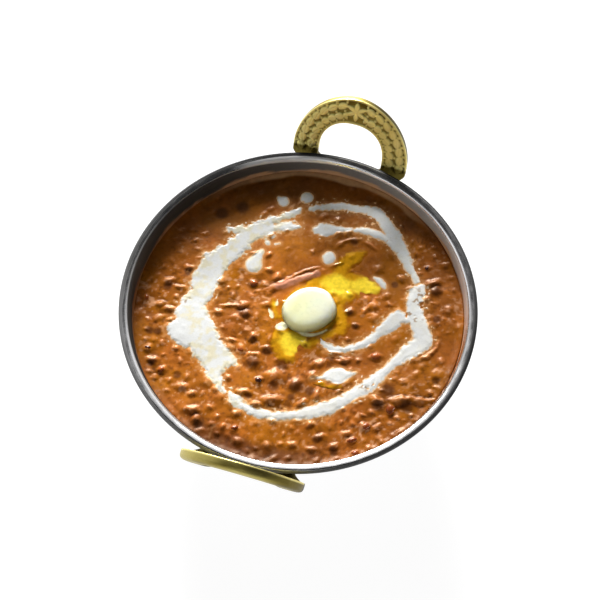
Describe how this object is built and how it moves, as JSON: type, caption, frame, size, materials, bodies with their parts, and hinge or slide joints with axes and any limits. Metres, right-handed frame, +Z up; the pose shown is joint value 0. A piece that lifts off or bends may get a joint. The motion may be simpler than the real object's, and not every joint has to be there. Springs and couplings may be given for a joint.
{
  "type": "dal makhani in a serving kadai",
  "caption": "Black-lentil curry with a butter pat and cream strokes, filling a round steel bowl with a rolled lip and riveted brass loop handles.",
  "frame": {"origin": "centre of the bowl's flat base, on the surface it stands on", "axes": "+Z up, +Y towards one handle, +X across the bowl"},
  "size_m": [0.17, 0.202, 0.0857],
  "materials": {
    "steel": "polished stainless steel with fine turning marks",
    "brass": "cast brass with dark patina in the hollows",
    "rivet_steel": "dull steel",
    "gravy": "wet glossy orange-brown lentil gravy",
    "butter": "soft melting butter",
    "cream": "glossy cream with feathered edges"
  },
  "bodies": {
    "root": {"bowl": "steel", "handle_back": "brass", "handle_front": "brass", "rivet_back_left": "rivet_steel", "rivet_back_right": "rivet_steel", "rivet_front_left": "rivet_steel", "rivet_front_right": "rivet_steel", "gravy": "gravy", "butter_pat": "butter", "cream_left": "cream", "cream_top": "cream", "cream_top_inner": "cream", "cream_right": "cream", "cream_stroke": "cream", "cream_drop_1": "cream", "cream_drop_2": "cream", "cream_drop_3": "cream", "cream_drop_4": "cream", "cream_drop_5": "cream", "cream_drop_6": "cream", "cream_drop_7": "cream"}
  },
  "joints": []
}
